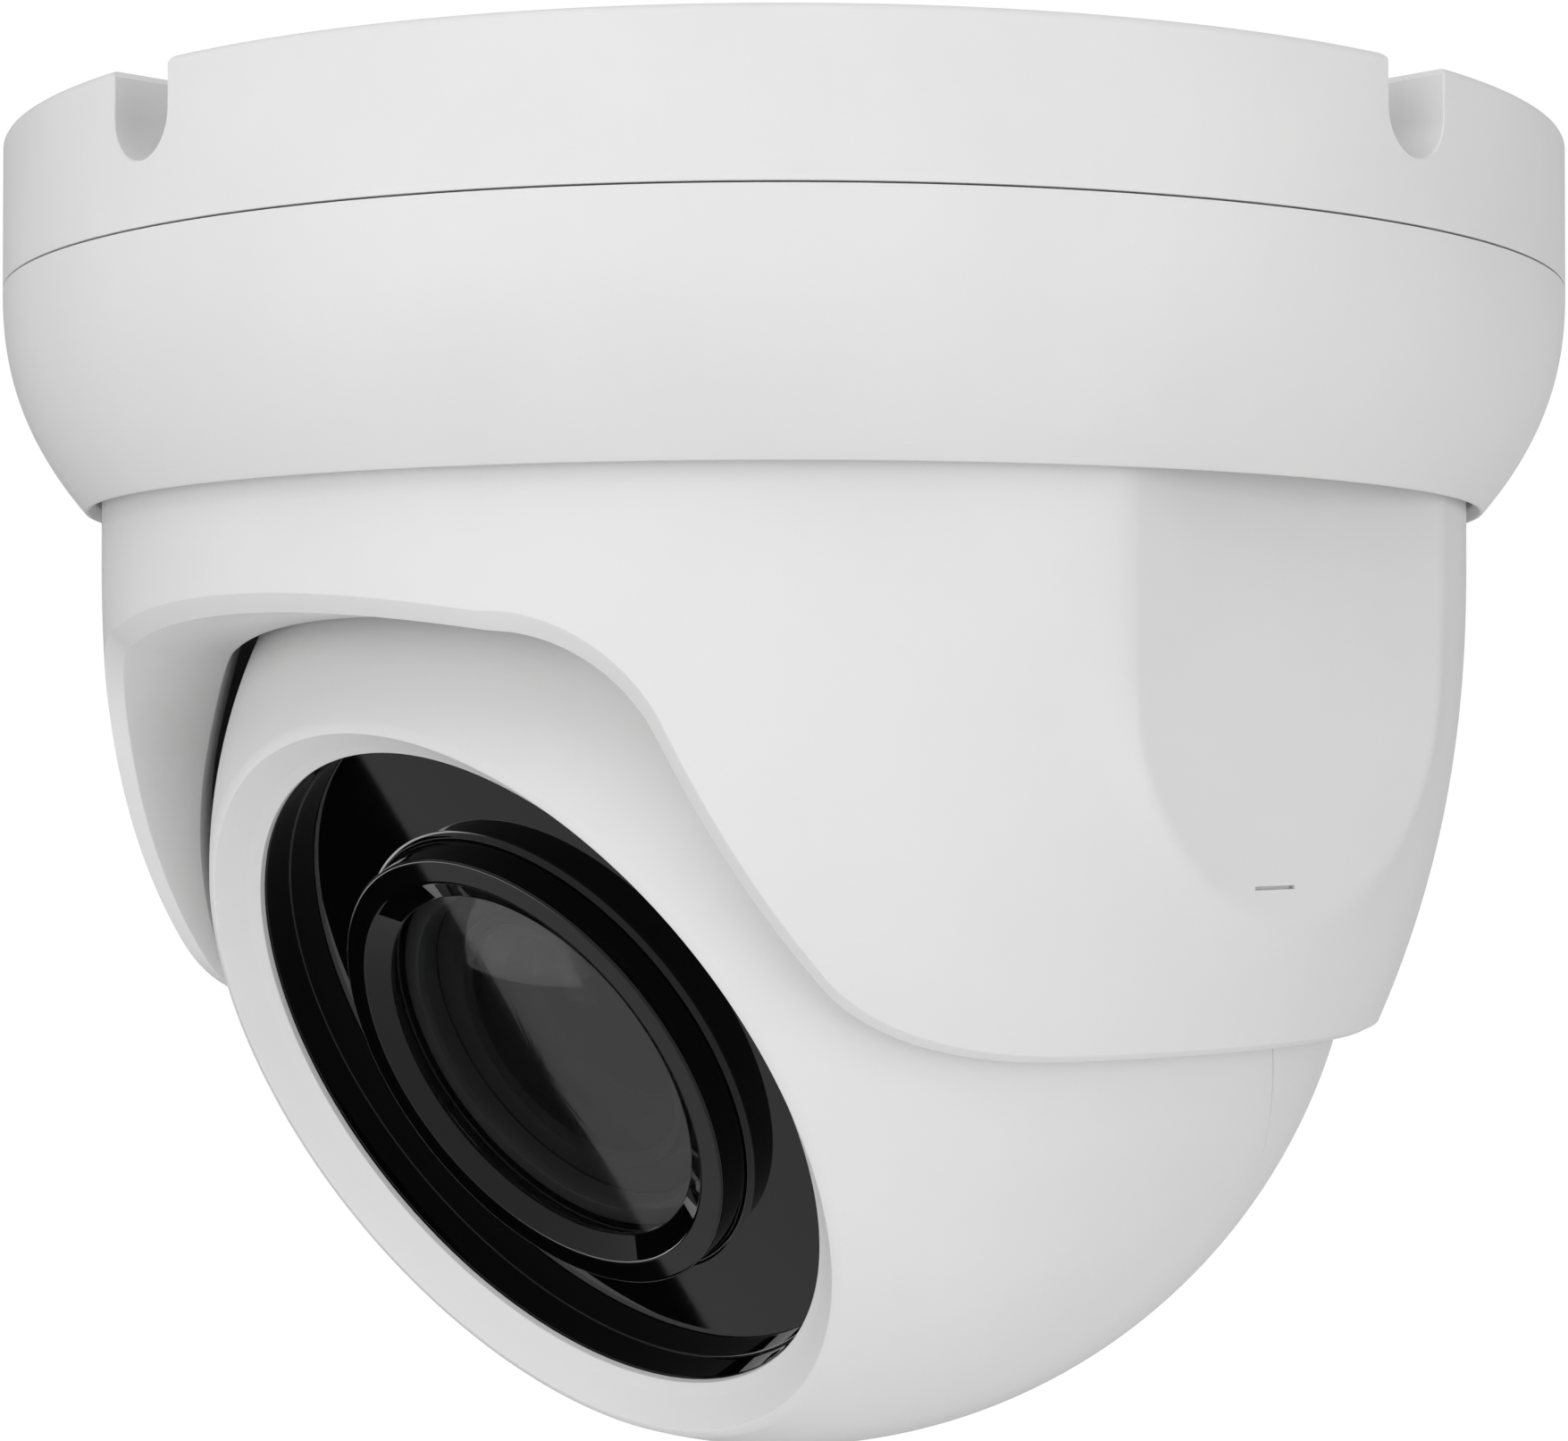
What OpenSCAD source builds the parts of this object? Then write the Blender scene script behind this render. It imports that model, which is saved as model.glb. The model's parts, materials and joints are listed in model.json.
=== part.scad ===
// Turret camera that hangs from a ceiling. A round base is screwed up, a twist ring
// holds a turning shell under it, and a ball with the lens tilts and rolls in the shell.
// +Z is up, the ceiling is the plane z = 0, and the lens looks towards -Y.

/* [Base] */
// Diameter of the base and of the widest part of the twist ring
base_d = 94; // [93.5:0.1:95]
// Height of the base's rim, from the ceiling down
base_h = 8.6; // [8.4:0.1:9]
// Width of the rim's U-shaped drain and cable notches
notch_w = 4.9; // [4:0.1:6]
// Depth of those notches, from the ceiling down
notch_depth = 5.1; // [4:0.1:5.4]
// Diameter of the circle that the ceiling screws stand on
screw_circle_d = 72; // [71:0.5:73]
// Radius of a ceiling screw's hole
screw_hole_r = 2.25; // [1.6:0.05:2.4]
// Radius of the cable hole in the middle of the base
cable_hole_r = 8; // [5:0.5:12]

/* [Twist ring] */
// Height of the twist ring
ring_h = 13; // [12.9:0.1:13.2]
// Radius of the ring's lower lip, outside
ring_lip_r = 42.1; // [42:0.05:42.3]
// Turn that frees the ring from the base, in degrees
unlock_turn = 25; // [15:1:30]

/* [Shell] */
// Radius of the shell where it leaves the twist ring
shell_r = 41.25; // [41:0.05:41.3]
// Depth of the shell's lower rim below the ceiling
shell_bottom = 52.1; // [51.8:0.1:52.4]
// Distance of the flats at the shell's two sides from the middle
flat_x = 38.95; // [38.8:0.05:39]
// Depth of the top of the front opening below the ceiling
arch_top = 28; // [27:0.1:29]

/* [Ball] */
// Radius of the ball
ball_r = 34.9; // [34.8:0.05:34.95]
// Depth of the ball's centre below the ceiling
ball_drop = 42.75; // [42.6:0.05:42.9]
// Thickness of the ball's wall
ball_wall = 2; // [1.6:0.1:2.2]
// Angle of the lens below the horizon in the pose that is modelled
lens_dip = 29.5; // [20:0.5:60]

/* [Window and lens] */
// Radius of the window's recessed face
window_r = 21.3; // [21:0.1:21.4]
// Distance of the window's face from the ball's centre
window_face = 21.3; // [21.1:0.1:21.4]
// Distance of the rims round the lens from the ball's centre
rim_face = 23.6; // [23.2:0.1:23.8]
// Outer radius of the window's raised rim
rim_r = 14.35; // [14:0.05:14.5]
// Radius of the clear pane in front of the lens
pane_r = 11.45; // [11:0.05:11.5]
// Number of infrared lamps
lamp_count = 12; // [6:1:14]
// Travel of the infrared filter's slider
filter_travel = 7; // [6.8:0.1:7.2]

/* [Hidden] */
$fn = 96;

// Radial running clearance of a shaft in its hole
running = 0.05;
// Gap between two faces that slide past each other
slide_gap = 0.1;
// Length that a cutter runs past what it cuts
past = 1;

// Base: plate, rim and the collar that the twist ring locks on
base_r = base_d / 2;
base_edge = 0.4;
plate_top = 3;
plate_t = 2;
plate_bottom = plate_top + plate_t;
rim_inner_r = base_r - 4.1;
screw_boss_r = 5;
collar_r = base_r - 3.1;
collar_inner_r = 41.4;
collar_bottom = base_h + 4;
gasket_inner_r = 9.5;
gasket_outer_r = 13;
notch_inner_r = 42.4;

// Bayonet lugs of the twist ring and their channels in the collar
lug_count = 3;
lug_arc = 12;
lug_inner_r = 42.9;
lug_top = base_h + 1;
lug_h = 1.6;
channel_inner_r = 42.6;
channel_gap = 0.2;
channel_play = 1;

// Friction ring, the shell's flange and the ledge that carries it
friction_t = 1.2;
flange_top = collar_bottom + friction_t + slide_gap;
flange_t = 2.4;
flange_r = collar_r - 0.5;
ledge_top = flange_top + flange_t + slide_gap;
ring_top = base_h + slide_gap;
ring_bottom = ring_top + ring_h;
ring_bore_r = collar_r + 0.3;
ring_lip_bore_r = shell_r + 0.4;
ring_curve = 2.3;

// Shell
curve_top = 24;
curve_end = 51.8;
curve_shrink = 5.25;
curve_power = 2.3;
cavity_r = 36;
neck_bore_r = 38.8;
cavity_half_x = 36.1;
collar_wall = 2;
arch_radius = 100;
arch_corner = [22.4, 30];
arch_foot_x = 29.2;
arch_corner_r = 11;
arch_flare_r = 6;
pad_r = 13.5;
pad_drop = 31.6;
pad_depth = 2.6;
pad_slope = 1.4;
slit_size = [0.6, 3.4, 0.35];
slit_middle_y = -1.7;
slit_drop = 43.1;

// Ball, in a frame whose +Z is the way the lens looks
ball_inner_r = ball_r - ball_wall;
parting = -0.4;
parting_gap = 0.05;
mouth_r = 24;
mouth_chamfer_r = 23.48;
mouth_chamfer_z = 25.45;
dish_r = 21.95;
dish_z = 24.2;
lip_r = 21.35;
lip_top = 23.6;
lip_back = 23.4;
flange_back = 17.5;
window_edge_r = 23.2;
window_step = 21;
window_back = 19.3;
seal_t = 0.3;
lining_r = dish_r - 0.05;
lining_top = lip_back - 0.1;
pane_front = 22.75;
pane_t = 1.3;
pane_edge_r = 12.2;
rim_flat_r = 12.85;
back_flat = -29;
ball_screw_ring = 30;
ball_screw_angles = [90, 210, 330];
boss_r = 3.2;

// Yoke: a thin band round the back of the ball
yoke_inner_r = ball_r + 0.2;
yoke_outer_r = yoke_inner_r + 0.65;
yoke_half_w = 5;
yoke_disc_r = 10;
pin_r = 2.5;
pin_end = 37.3;
hub_r = 7;
hub_bore_r = 4.5;
hub_back = -35;
hub_front = -24.5;
hub_flange_r = 10;
hub_flange_t = 1.5;
clip_t = 1.2;
clip_groove_r = 6.2;
clip_r = 9;
cable_r = 2.6;

// Optical stack
bracket_front = 14.8;
bracket_t = 1.6;
bracket_r = 27;
bracket_hole_r = 12.4;
bracket_screw_ring = 25.5;
bracket_screw_angles = [30, 150, 270];
ir_board_t = 1.2;
ir_board_r = 22.6;
lamp_ring = 18.4;
lamp_size = 3.2;
barrel_r = 11.8;
barrel_front = 21.3;
barrel_mouth_r = 10.6;
front_lens_seat = 18.9;
middle_bore_r = 8.7;
middle_lens_r = 6.1;
thread_r = 6;
holder_half = 11;
holder_front = 11;
sensor_board_front = -3.6;
board_t = 1.4;
sensor_half = 17;
main_board_front = -12;
main_half = 19;
standoff_at = 14.5;
standoff_r = 2.4;
board_screw_r = 0.95;

function arc(radius, from, to, steps) = [
    for (i = [0 : steps])
        let (a = from + (to - from) * i / steps) radius * [cos(a), sin(a)]
];

function unit(v) = v / norm(v);

// Points of a rounded corner at b, between the lines to a and to c
function corner(a, b, c, radius, steps) =
    let (
        to_a = unit(a - b),
        to_c = unit(c - b),
        half = acos(to_a * to_c) / 2,
        middle = b + unit(to_a + to_c) * radius / sin(half),
        first = b + to_a * radius / tan(half) - middle,
        last = b + to_c * radius / tan(half) - middle,
        start = atan2(first.y, first.x),
        turn = (atan2(last.y, last.x) - start + 540) % 360 - 180
    )
    [for (i = [0 : steps]) middle + radius * [cos(start + turn * i / steps), sin(start + turn * i / steps)]];

function reversed(list) = [for (i = [len(list) - 1 : -1 : 0]) list[i]];

function mirrored_x(list) = [for (p = list) [-p.x, p.y]];

// Radius of the shell's outside at a depth below the ceiling
function shell_outside(depth) =
    shell_r - curve_shrink * pow(max(0, depth - curve_top) / (curve_end - curve_top), curve_power);

// Radius of the twist ring's outside at a distance below its top
function ring_outside(below) = base_r - (base_r - ring_lip_r) * pow(below / ring_h, ring_curve);

module on_lens_axis() {
    translate([0, 0, -ball_drop])
        rotate([90 + lens_dip, 0, 0])
            children();
}

module tube(outer, inner, low, high) {
    difference() {
        translate([0, 0, low])
            cylinder(r = outer, h = high - low);
        translate([0, 0, low - past])
            cylinder(r = inner, h = high - low + 2 * past);
    }
}

module rounded_board(half, low, thickness, corner_r) {
    outline = [
        for (a = [0 : 90 : 270])
            each [
                for (i = [0 : 4])
                    let (turn = a + i * 22.5, at = half - corner_r)
                    [
                        at * sqrt(2) * cos(a + 45) + corner_r * cos(turn),
                        at * sqrt(2) * sin(a + 45) + corner_r * sin(turn)
                    ]
            ]
    ];
    translate([0, 0, low])
        linear_extrude(thickness)
            polygon(outline);
}

// ---------------------------------------------------------------- base

module u_notch() {
    r = notch_w / 2;
    floor = [for (p = arc(r, 180, 360, 12)) [p.x, p.y + r - notch_depth]];
    translate([notch_inner_r, 0, 0])
        rotate([90, 0, 90])
            linear_extrude(8)
                polygon(concat(floor, [[r, past], [-r, past]]));
}

module bayonet_channel() {
    turn = lug_arc + unlock_turn + 2 * channel_play;
    low = -lug_top - lug_h - channel_gap;
    rotate(-lug_arc / 2 - channel_play) {
        rotate_extrude(angle = turn)
            translate([channel_inner_r, low])
                square([3, lug_h + 2 * channel_gap]);
        rotate(unlock_turn + channel_play)
            rotate_extrude(angle = lug_arc + 2 * channel_play)
                translate([channel_inner_r - channel_gap, -collar_bottom - past])
                    square([3, collar_bottom + past + low + channel_gap]);
    }
}

module base() {
    profile = [
        [0, -plate_top],
        [rim_inner_r, -plate_top],
        [rim_inner_r, 0],
        [base_r - base_edge, 0],
        [base_r, -base_edge],
        [base_r, -base_h],
        [collar_r, -base_h],
        [collar_r, -collar_bottom],
        [collar_inner_r, -collar_bottom],
        [collar_inner_r, -plate_bottom],
        [0, -plate_bottom],
    ];
    color("white")
        difference() {
            union() {
                rotate_extrude()
                    polygon(profile);
                for (a = [30 : 120 : 270])
                    rotate(a)
                        translate([screw_circle_d / 2, 0, -plate_bottom + 0.5])
                            cylinder(r = screw_boss_r, h = plate_bottom - 0.5);
            }
            translate([0, 0, -plate_bottom - past])
                cylinder(r = cable_hole_r, h = plate_t + 2 * past);
            for (a = [30 : 120 : 270])
                rotate(a)
                    translate([screw_circle_d / 2, 0, -plate_bottom - past])
                        cylinder(r = screw_hole_r, h = plate_bottom + 2 * past);
            for (a = [0 : 90 : 270])
                rotate(a)
                    u_notch();
            for (a = [0 : 360 / lug_count : 359])
                rotate(a)
                    bayonet_channel();
        }
}

module ceiling_gasket() {
    color("dimgray")
        tube(gasket_outer_r, gasket_inner_r, -plate_top, 0);
}

module friction_ring() {
    color("gainsboro")
        tube(collar_r - 0.2, collar_inner_r, -collar_bottom - friction_t, -collar_bottom);
}

// ---------------------------------------------------------------- twist ring

module twist_ring() {
    steps = 20;
    outside = [
        for (i = [0 : steps])
            let (below = ring_h * i / steps) [ring_outside(below), -ring_top - below]
    ];
    inside = [
        [ring_lip_bore_r, -ring_bottom + 0.8],
        [ring_lip_bore_r, -ledge_top],
        [ring_bore_r, -ledge_top],
        [ring_bore_r, -ring_top],
    ];
    color("white")
        union() {
            rotate_extrude()
                polygon(concat(outside, inside));
            for (a = [0 : 360 / lug_count : 359])
                rotate(a - lug_arc / 2)
                    rotate_extrude(angle = lug_arc)
                        translate([lug_inner_r, -lug_top - lug_h])
                            square([ring_bore_r + 0.5 - lug_inner_r, lug_h]);
        }
}

// ---------------------------------------------------------------- shell

module shell_solid() {
    steps = 24;
    outside = [
        for (i = [0 : steps])
            let (depth = curve_top + (curve_end - curve_top) * i / steps) [shell_outside(depth), -depth]
    ];
    rotate_extrude()
        polygon(concat(
            [[0, -flange_top], [flange_r, -flange_top], [flange_r, -flange_top - flange_t]],
            [[shell_r, -flange_top - flange_t]],
            outside,
            [[35.3, -shell_bottom], [0, -shell_bottom]]
        ));
}

// Everything inside the shell: round the ball below its centre, wider above it
module shell_cavity() {
    seat = arc(cavity_r, -30, 0, 12);
    intersection() {
        rotate_extrude()
            polygon(concat(
                [[0, -60]],
                [[seat[0].x, -60]],
                [for (p = seat) [p.x, p.y - ball_drop]],
                [[neck_bore_r, -26], [neck_bore_r, -flange_top + past], [0, -flange_top + past]]
            ));
        translate([-cavity_half_x, -60, -70])
            cube([2 * cavity_half_x, 120, 70]);
    }
}

// Outline of the front opening, seen from the front; grow widens it all round
function arch_half(grow) =
    let (
        top = -arch_top + grow,
        crown = [for (x = [0 : 4 : 12]) [x, top - x * x / (2 * arch_radius)]],
        shoulder = [arch_corner.x + grow, -arch_corner.y + grow],
        foot = [arch_foot_x + grow, -shell_bottom]
    )
    concat(
        crown,
        corner(crown[3], shoulder, foot, arch_corner_r, 10),
        corner(shoulder, foot, [60, foot.y], arch_flare_r, 8),
        [[60, foot.y], [60, -70]]
    );

module arch_prism(grow) {
    half = arch_half(grow);
    rotate([90, 0, 0])
        linear_extrude(60)
            polygon(concat(reversed(half), mirrored_x(half)));
}

module side_flats() {
    for (side = [-1, 1])
        translate([side * (flat_x + 5), 0, -flange_top - flange_t - 20])
            cube([10, 60, 40], center = true);
}

// Raised face at each side for the pivot, round below, with sloping edges
module side_pads() {
    back = flat_x - pad_depth;
    spread = pad_r + pad_slope * pad_depth;
    for (side = [0, 1])
        mirror([side, 0, 0]) {
            translate([back, 0, -pad_drop])
                rotate([0, 90, 0])
                    cylinder(r1 = spread, r2 = pad_r, h = pad_depth);
            translate([0, 0, -pad_drop])
                linear_extrude(pad_drop - curve_top + 2)
                    polygon([[back, -spread], [flat_x, -pad_r], [flat_x, pad_r], [back, spread]]);
        }
}

module swivel_shell() {
    color("white")
        difference() {
            union() {
                difference() {
                    shell_solid();
                    shell_cavity();
                }
                intersection() {
                    difference() {
                        shell_solid();
                        translate([0, 0, -ball_drop])
                            sphere(r = cavity_r);
                    }
                    arch_prism(collar_wall);
                }
                side_pads();
            }
            arch_prism(0);
            side_flats();
            translate([-pin_end - slide_gap, 0, -ball_drop])
                rotate([0, 90, 0])
                    cylinder(r = pin_r + running, h = 2 * (pin_end + slide_gap));
            for (side = [-1, 1])
                translate([side * flat_x, slit_middle_y, -slit_drop])
                    cube(slit_size, center = true);
        }
}

// ---------------------------------------------------------------- yoke

module yoke_space(radius) {
    // half-width band behind the ball, with a round eye at each pin and a disc at the hub
    on_lens_axis() {
        translate([-60, -yoke_half_w, -60])
            cube([120, 2 * yoke_half_w, 60]);
        rotate([0, 90, 0])
            cylinder(r = yoke_half_w, h = 120, center = true);
        translate([0, 0, -60])
            cylinder(r = radius, h = 50);
    }
}

module tilt_yoke() {
    color("silver")
        difference() {
            intersection() {
                translate([0, 0, -ball_drop])
                    sphere(r = yoke_outer_r);
                yoke_space(yoke_disc_r);
            }
            translate([0, 0, -ball_drop])
                sphere(r = yoke_inner_r);
            on_lens_axis() {
                translate([0, 0, -60])
                    cylinder(r = hub_r, h = 50);
                rotate([0, 90, 0])
                    cylinder(r = pin_r, h = 120, center = true);
            }
        }
}

module pivot_pins() {
    color("silver")
        for (side = [-1, 1])
            translate([side * (yoke_inner_r + pin_end) / 2, 0, -ball_drop])
                rotate([0, 90, 0])
                    cylinder(r = pin_r, h = pin_end - yoke_inner_r, center = true);
}

module roll_hub() {
    clip_back = back_flat + ball_wall + slide_gap;
    profile = [
        [hub_bore_r, hub_back],
        [hub_r, hub_back],
        [hub_r, back_flat - slide_gap - hub_flange_t],
        [hub_flange_r, back_flat - slide_gap - hub_flange_t],
        [hub_flange_r, back_flat - slide_gap],
        [hub_r, back_flat - slide_gap],
        [hub_r, clip_back],
        [clip_groove_r, clip_back],
        [clip_groove_r, clip_back + clip_t],
        [hub_r, clip_back + clip_t],
        [hub_r, hub_front],
        [hub_bore_r, hub_front],
    ];
    color("silver")
        on_lens_axis()
            rotate_extrude()
                polygon(profile);
}

module hub_clip() {
    clip_back = back_flat + ball_wall + slide_gap;
    color("dimgray")
        on_lens_axis()
            difference() {
                tube(clip_r, clip_groove_r, clip_back, clip_back + clip_t);
                translate([-2, 0, clip_back - past])
                    cube([4, clip_r + past, clip_t + 2 * past]);
            }
}

module cable_grommet() {
    profile = [
        [cable_r, hub_back + 0.2],
        [hub_bore_r, hub_back + 0.2],
        [hub_bore_r, hub_front],
        [6.4, hub_front],
        [6.4, hub_front + 1],
        [5.2, hub_front + 1.6],
        [cable_r, hub_front + 1.6],
    ];
    color("black")
        on_lens_axis()
            rotate_extrude()
                polygon(profile);
}

// ---------------------------------------------------------------- ball

module at_ring(radius, angles) {
    for (a = angles)
        rotate(a)
            translate([radius, 0, 0])
                children();
}

module ball_front() {
    low = parting + parting_gap;
    profile = concat(
        arc(ball_r, asin(low / ball_r), acos(mouth_r / ball_r), 24),
        [
            [mouth_chamfer_r, mouth_chamfer_z],
            [dish_r + 0.05, dish_z],
            [lip_r, lip_top],
            [lip_r, lip_back],
            [dish_r, lip_back],
            [dish_r, window_step],
            [window_edge_r + 0.1, window_step],
            [window_edge_r + 0.1, flange_back],
        ],
        arc(ball_inner_r, asin(flange_back / ball_inner_r), asin(low / ball_inner_r), 16)
    );
    color("white")
        on_lens_axis()
            difference() {
                union() {
                    rotate_extrude()
                        polygon(profile);
                    at_ring(ball_screw_ring, ball_screw_angles)
                        translate([0, 0, low])
                            cylinder(r = boss_r, h = 9);
                    at_ring(bracket_screw_ring, bracket_screw_angles)
                        translate([0, 0, bracket_front])
                            cylinder(r = 2.2, h = 4);
                }
                at_ring(ball_screw_ring, ball_screw_angles)
                    translate([0, 0, low - past])
                        cylinder(r = 1.05, h = 8);
                at_ring(bracket_screw_ring, bracket_screw_angles)
                    translate([0, 0, bracket_front - past])
                        cylinder(r = 1.05, h = 6);
            }
}

module ball_rear() {
    high = parting - parting_gap;
    back_r = sqrt(ball_r * ball_r - back_flat * back_flat);
    inner_back = back_flat + ball_wall;
    profile = concat(
        [[hub_r + running, back_flat]],
        arc(ball_r, asin(back_flat / ball_r), asin(high / ball_r), 24),
        arc(ball_inner_r, asin(high / ball_inner_r), asin(inner_back / ball_inner_r), 24),
        [[hub_r + running, inner_back]]
    );
    color("white")
        on_lens_axis()
            difference() {
                union() {
                    rotate_extrude()
                        polygon(profile);
                    intersection() {
                        at_ring(ball_screw_ring, ball_screw_angles)
                            translate([0, 0, high - 16])
                                cylinder(r = boss_r, h = 16);
                        sphere(r = ball_r - 0.8);
                    }
                }
                tube(34.2, 33.6, high - 0.5, high + past);
                at_ring(ball_screw_ring, ball_screw_angles) {
                    translate([0, 0, high - 13])
                        cylinder(r = 1.3, h = 20);
                    translate([0, 0, high - 30])
                        cylinder(r = 2.4, h = 22);
                }
            }
}

module ball_seal() {
    color("black")
        on_lens_axis()
            tube(34.2, 33.6, parting - parting_gap - 0.5, parting + parting_gap);
}

// Screw with a cylindrical head whose underside is at z = 0 and a shank that runs up
module cap_screw(shank_r, length, head_r, head_h) {
    cylinder(r = shank_r, h = length);
    difference() {
        translate([0, 0, -head_h])
            cylinder(r = head_r, h = head_h);
        translate([0, 0, -head_h - past])
            cylinder(r = head_r / 2, h = head_h / 2 + past, $fn = 6);
    }
}

module ball_screws() {
    color("silver")
        on_lens_axis()
            at_ring(ball_screw_ring, ball_screw_angles)
                translate([0, 0, parting - parting_gap - 8])
                    cap_screw(1, 14.5, 2.1, 1.8);
}

// ---------------------------------------------------------------- window, lamps and lens

// Black moulding: a lining of the ball's mouth, a recessed face and a raised rim round the lens
module front_window() {
    profile = [
        [pane_edge_r + 0.1, window_back],
        [window_edge_r, window_back],
        [window_edge_r, window_step - seal_t],
        [lining_r, window_step - seal_t],
        [lining_r, lining_top],
        [window_r, lining_top],
        [window_r, window_face],
        [rim_r, window_face],
        [rim_r, rim_face - 0.2],
        [rim_r - 0.2, rim_face],
        [rim_flat_r, rim_face],
        [pane_r, pane_front + 0.1],
        [pane_r, pane_front],
        [pane_edge_r + 0.1, pane_front],
    ];
    color("black")
        on_lens_axis()
            rotate_extrude()
                polygon(profile);
}

module window_seal() {
    color("dimgray")
        on_lens_axis()
            tube(window_edge_r, dish_r, window_step - seal_t, window_step);
}

module lens_pane() {
    color("lightblue")
        on_lens_axis()
            translate([0, 0, pane_front - pane_t])
                cylinder(r = pane_edge_r, h = pane_t);
}

module front_bracket() {
    color("silver")
        on_lens_axis()
            difference() {
                tube(bracket_r, bracket_hole_r, bracket_front - bracket_t, bracket_front);
                at_ring(bracket_screw_ring, bracket_screw_angles)
                    translate([0, 0, bracket_front - bracket_t - past])
                        cylinder(r = 1.1, h = bracket_t + 2 * past);
                for (x = [-standoff_at, standoff_at])
                    for (y = [-standoff_at, standoff_at])
                        translate([x, y, bracket_front - bracket_t - past])
                            cylinder(r = 1.05, h = bracket_t + 2 * past);
            }
}

module bracket_screws() {
    color("silver")
        on_lens_axis()
            at_ring(bracket_screw_ring, bracket_screw_angles)
                translate([0, 0, bracket_front - bracket_t])
                    cap_screw(1, 6, 1.7, 1.2);
}

module ir_board() {
    color("darkgreen")
        on_lens_axis()
            tube(ir_board_r, bracket_hole_r, bracket_front, bracket_front + ir_board_t);
}

module ir_lamps() {
    board = bracket_front + ir_board_t;
    angles = [for (i = [0 : lamp_count - 1]) 15 + i * 360 / lamp_count];
    color("gold")
        on_lens_axis()
            at_ring(lamp_ring, angles)
                translate([0, 0, board])
                    union() {
                        translate([-lamp_size / 2, -lamp_size / 2, 0])
                            cube([lamp_size, lamp_size, 0.9]);
                        intersection() {
                            sphere(r = 1.9, $fn = 32);
                            translate([-2, -2, 0.5])
                                cube([4, 4, 2]);
                        }
                    }
}

module light_sensor() {
    color("whitesmoke")
        on_lens_axis()
            at_ring(lamp_ring, [90])
                translate([-1, -0.8, bracket_front + ir_board_t])
                    cube([2, 1.6, 0.8]);
}

module foam_collar() {
    color("dimgray")
        on_lens_axis()
            tube(14, barrel_r + 0.1, bracket_front + ir_board_t, window_back);
}

module lens_barrel() {
    profile = [
        [thread_r - 1.2, 2],
        [thread_r, 2],
        [thread_r, holder_front + 0.4],
        [barrel_r, holder_front + 0.4],
        [barrel_r, barrel_front],
        [barrel_mouth_r + 0.2, barrel_front],
        [barrel_mouth_r, barrel_front - 0.2],
        [barrel_mouth_r, front_lens_seat],
        [middle_bore_r, front_lens_seat],
        [middle_bore_r, 17.4],
        [middle_lens_r, 15.4],
        [middle_lens_r, 12.6],
        [thread_r - 1.2, 12.6],
    ];
    color("black")
        on_lens_axis()
            rotate_extrude()
                polygon(profile);
}

// Lens with a domed front and a hollow back, its rim between two heights
module meniscus(radius, low, high, front_sag, back_sag) {
    front_ball = (radius * radius + front_sag * front_sag) / (2 * front_sag);
    back_ball = (radius * radius + back_sag * back_sag) / (2 * back_sag);
    front_span = asin(radius / front_ball);
    back_span = asin(radius / back_ball);
    front = [for (p = arc(front_ball, 90 - front_span, 90, 10)) [p.x, p.y - front_ball + high + front_sag]];
    back = [for (p = arc(back_ball, 90, 90 - back_span, 10)) [p.x, p.y - back_ball + low + back_sag]];
    rotate_extrude()
        polygon(concat(
            [for (p = front) [max(0, p.x), p.y]],
            [for (p = back) [max(0, p.x), p.y]]
        ));
}

module front_lens() {
    color("lightblue")
        on_lens_axis()
            meniscus(barrel_mouth_r - 0.02, front_lens_seat + 0.05, 19.95, 1.4, 0.8);
}

module middle_lens() {
    color("lightblue")
        on_lens_axis()
            meniscus(middle_lens_r - 0.02, 13.2, 14.6, 1.2, 0.8);
}

module rear_lens() {
    color("lightblue")
        on_lens_axis()
            meniscus(4.7, 4, 6, 1, 0.6);
}

module lens_holder() {
    pocket_low = sensor_board_front;
    color("black")
        on_lens_axis()
            difference() {
                union() {
                    rounded_board(holder_half, sensor_board_front, 4.8, 1.5);
                    translate([0, 0, 1])
                        cylinder(r = 8.6, h = holder_front - 1);
                }
                translate([0, 0, 1.9])
                    cylinder(r = thread_r + running, h = holder_front);
                translate([0, 0, pocket_low - past])
                    cylinder(r = 4.4, h = 10);
                translate([-holder_half - past, -6, pocket_low - past])
                    cube([2 * (holder_half + past), 12, 4.1 + past]);
            }
}

// ---------------------------------------------------------------- infrared filter

module filter_frame() {
    color("dimgray")
        on_lens_axis()
            difference() {
                translate([-11.2 + 4, -4.6, -0.9])
                    cube([filter_travel + 8.6, 9.2, 1]);
                for (x = [0, -filter_travel])
                    translate([x + filter_travel, 0, -2])
                        cylinder(r = 3, h = 4);
            }
}

module filter_glasses() {
    color("lightcyan")
        on_lens_axis()
            for (x = [0, filter_travel])
                translate([x, 0, -0.7])
                    cylinder(r = 3, h = 0.5);
}

module filter_coil() {
    color("orange")
        on_lens_axis()
            translate([-5, holder_half, sensor_board_front])
                union() {
                    cube([10, 4, 5]);
                    translate([2.5, 2.4, 2.5])
                        rotate([0, 90, 0])
                            cylinder(r = 2.4, h = 5);
                }
}

// ---------------------------------------------------------------- boards

module sensor_board() {
    color("darkgreen")
        on_lens_axis()
            difference() {
                rounded_board(sensor_half, sensor_board_front - board_t, board_t, 2);
                for (x = [-standoff_at, standoff_at])
                    for (y = [-standoff_at, standoff_at])
                        translate([x, y, sensor_board_front - board_t - past])
                            cylinder(r = 1.05, h = board_t + 2 * past);
            }
}

module image_sensor() {
    color("dimgray")
        on_lens_axis()
            translate([-4.2, -3.9, sensor_board_front])
                cube([8.4, 7.8, 1.3]);
}

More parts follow.
